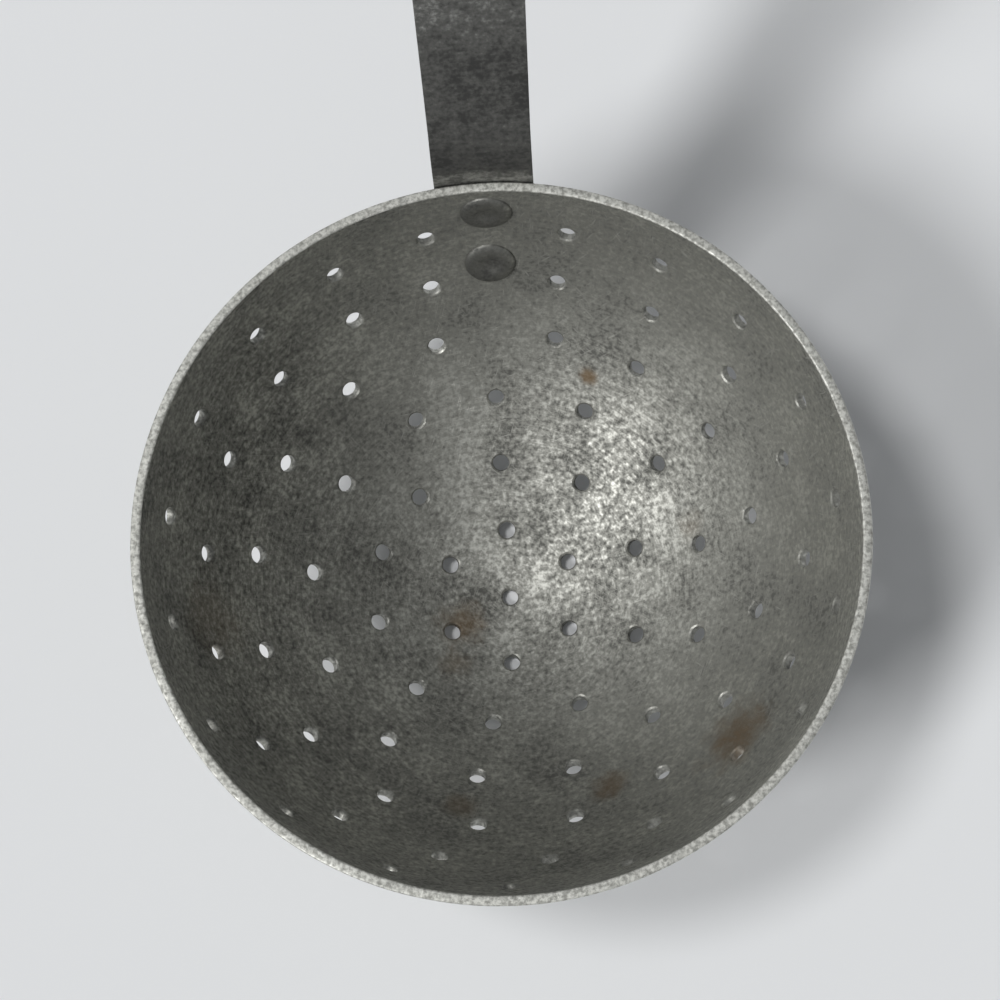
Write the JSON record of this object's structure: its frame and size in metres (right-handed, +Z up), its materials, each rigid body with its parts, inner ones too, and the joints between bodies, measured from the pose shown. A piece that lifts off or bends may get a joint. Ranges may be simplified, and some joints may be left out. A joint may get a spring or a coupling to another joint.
{
  "type": "perforated ladle",
  "caption": "Deep round bowl with a punched wall and a flat strap handle riveted to its outside, for lifting food out of hot liquid and draining it.",
  "frame": {"origin": "the lowest point of the bowl's outside, on the bowl's axis", "axes": "+Z up the bowl's axis to the open mouth, +Y towards the handle, X across the handle"},
  "size_m": [0.15, 0.2506, 0.2606],
  "materials": {
    "bowl_aluminium": "dull grey aged aluminium, mottled with oxide, with fine scratches round the bowl and pale worn edges",
    "handle_aluminium": "dull dark grey aluminium, blotched with lighter rubbed patches",
    "rivet_aluminium": "hammered dull aluminium with a bright worn edge"
  },
  "bodies": {
    "root": {"bowl": "bowl_aluminium", "handle_strap": "handle_aluminium", "upper_rivet": "rivet_aluminium", "lower_rivet": "rivet_aluminium"}
  },
  "joints": []
}
